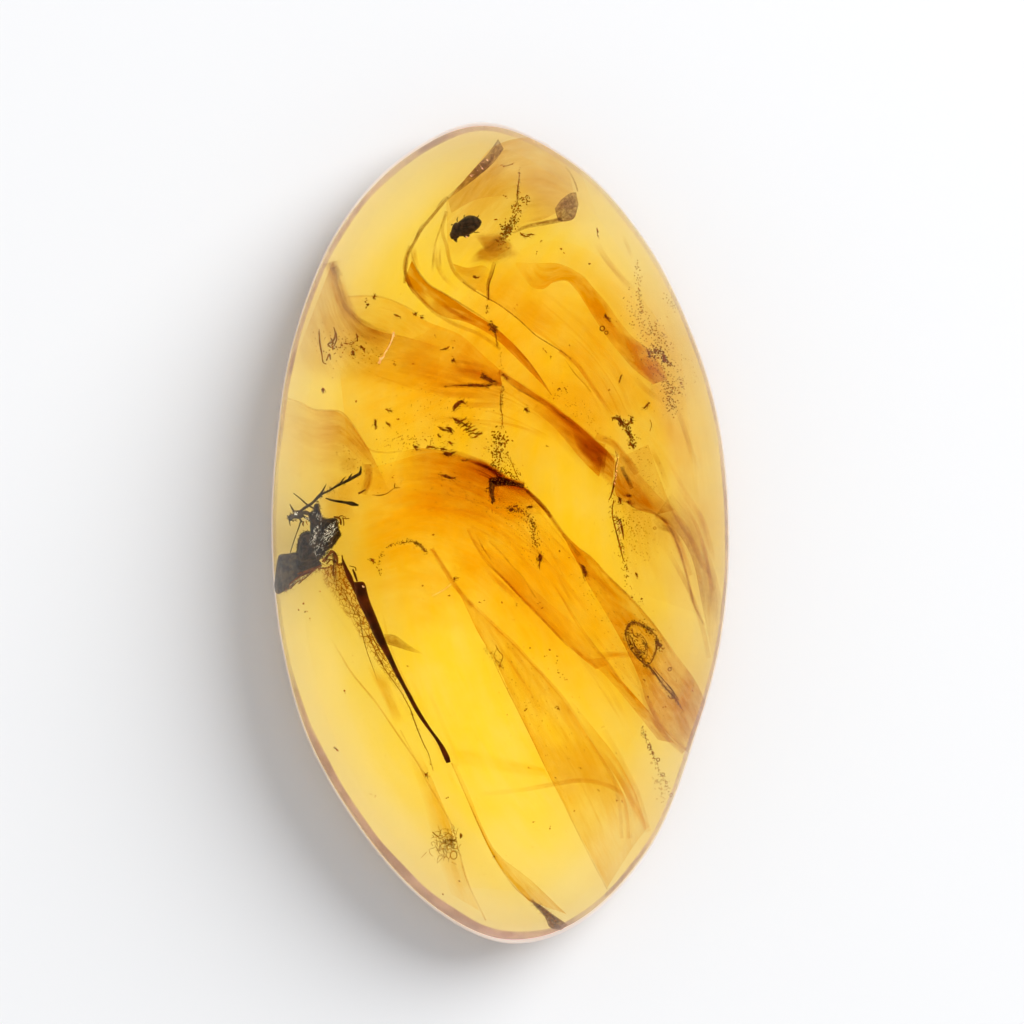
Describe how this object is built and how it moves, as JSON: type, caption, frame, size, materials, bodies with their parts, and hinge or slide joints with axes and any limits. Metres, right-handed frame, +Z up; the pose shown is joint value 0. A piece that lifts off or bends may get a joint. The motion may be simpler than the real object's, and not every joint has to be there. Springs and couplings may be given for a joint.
{
  "type": "insect in amber",
  "caption": "Polished oval pebble of clear honey amber with a winged insect, a beetle and flow layers sealed inside.",
  "frame": {"origin": "middle of the flat base that the stone rests on", "axes": "+Z up through the dome, +Y along the long axis towards the end with the beetle, +X across"},
  "size_m": [0.0279, 0.05, 0.01],
  "materials": {
    "amber": "clear honey-yellow fossil resin, ground and polished",
    "flow_layer": "darker orange-brown layers and swirls in the resin",
    "chitin": "black-brown insect shell with small silvery glints",
    "wing": "brown net-veined insect wing",
    "debris": "dark brown bark dust, plant hairs and fibres",
    "crack": "glinting stress cracks and small bubbles"
  },
  "bodies": {
    "root": {"amber_stone": "amber"}
  },
  "joints": []
}
